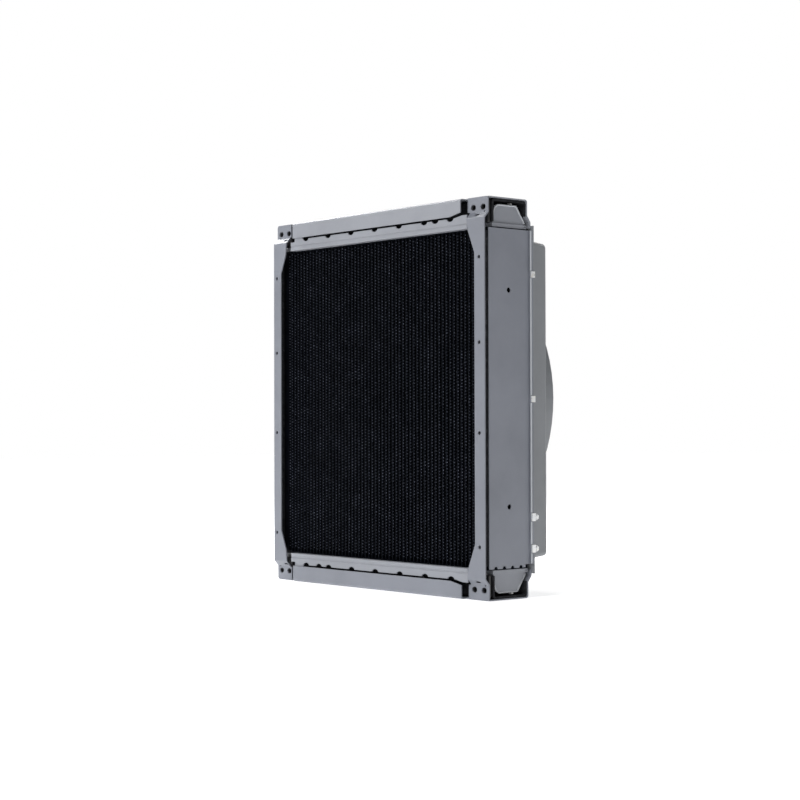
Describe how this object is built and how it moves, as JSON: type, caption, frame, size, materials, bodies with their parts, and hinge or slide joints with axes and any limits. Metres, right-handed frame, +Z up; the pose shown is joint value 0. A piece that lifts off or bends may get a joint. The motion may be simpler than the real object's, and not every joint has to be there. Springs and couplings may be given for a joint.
{
  "type": "hydraulic oil cooler",
  "caption": "Air-blast hydraulic oil cooler: a tube-and-fin core between two tanks in a folded sheet frame with drilled corner tabs, and a hydraulic motor fan in a shroud behind it.",
  "frame": {"origin": "centre of the flat underside of the bottom guard, which the cooler stands on", "axes": "+Z up, -Y out of the core's front face with the corner tabs, +Y out of the fan, +X to the right as seen from the front"},
  "size_m": [0.686, 0.3231, 0.76],
  "materials": {
    "grey_paint": "semi-gloss bluish grey powder coat",
    "shroud_paint": "satin grey powder coat",
    "core_black": "matt black painted aluminium",
    "fin_black": "satin black painted aluminium",
    "zinc": "bright zinc plate",
    "fan_plastic": "black glass-filled nylon",
    "cast_metal": "cast aluminium",
    "shaft_steel": "ground steel",
    "black_steel": "black powder coat",
    "foam_black": "black closed-cell foam"
  },
  "bodies": {
    "frame": {"bottom_foam": "foam_black", "bottom_front_band": "grey_paint", "bottom_guard": "grey_paint", "bottom_tank": "grey_paint", "bottom_tank_end_left": "grey_paint", "bottom_tank_end_right": "grey_paint", "core_side_left": "core_black", "core_side_right": "core_black", "drain_plug": "zinc", "fan_guard": "black_steel", "fan_ring": "shroud_paint", "fan_shroud": "shroud_paint", "fin_pack": "fin_black", "flange_clip_left_1": "zinc", "flange_clip_left_2": "zinc", "flange_clip_left_3": "zinc", "flange_clip_left_4": "zinc", "flange_clip_right_1": "zinc", "flange_clip_right_2": "zinc", "flange_clip_right_3": "zinc", "flange_clip_right_4": "zinc", "front_strip_left": "grey_paint", "front_strip_right": "grey_paint", "motor_bracket": "black_steel", "motor_front_cover": "cast_metal", "motor_housing": "cast_metal", "motor_port_left": "cast_metal", "motor_port_right": "cast_metal", "motor_rear_cover": "cast_metal", "nut_plate_bottom_left": "black_steel", "nut_plate_bottom_right": "black_steel", "nut_plate_top_left": "black_steel", "nut_plate_top_right": "black_steel", "oil_inlet_port": "grey_paint", "oil_outlet_port": "grey_paint", "side_panel_left": "grey_paint", "side_panel_right": "grey_paint", "top_foam": "foam_black", "top_front_band": "grey_paint", "top_guard": "grey_paint", "top_tank": "grey_paint", "top_tank_end_left": "grey_paint", "top_tank_end_right": "grey_paint", "tube_bank": "core_black", "vent_plug": "zinc"},
    "fan": {"fan_blade_1": "fan_plastic", "fan_blade_2": "fan_plastic", "fan_blade_3": "fan_plastic", "fan_blade_4": "fan_plastic", "fan_blade_5": "fan_plastic", "fan_blade_6": "fan_plastic", "fan_blade_7": "fan_plastic", "fan_hub": "fan_plastic", "fan_clamp_plate": "shaft_steel", "shaft_nut": "zinc", "motor_shaft": "shaft_steel"}
  },
  "joints": [
    {"name": "fan_spin", "type": "hinge", "parent": "frame", "child": "fan", "pos_m": [0, 0.1405, 0.382], "axis": [0, 1, 0], "continuous": true}
  ]
}
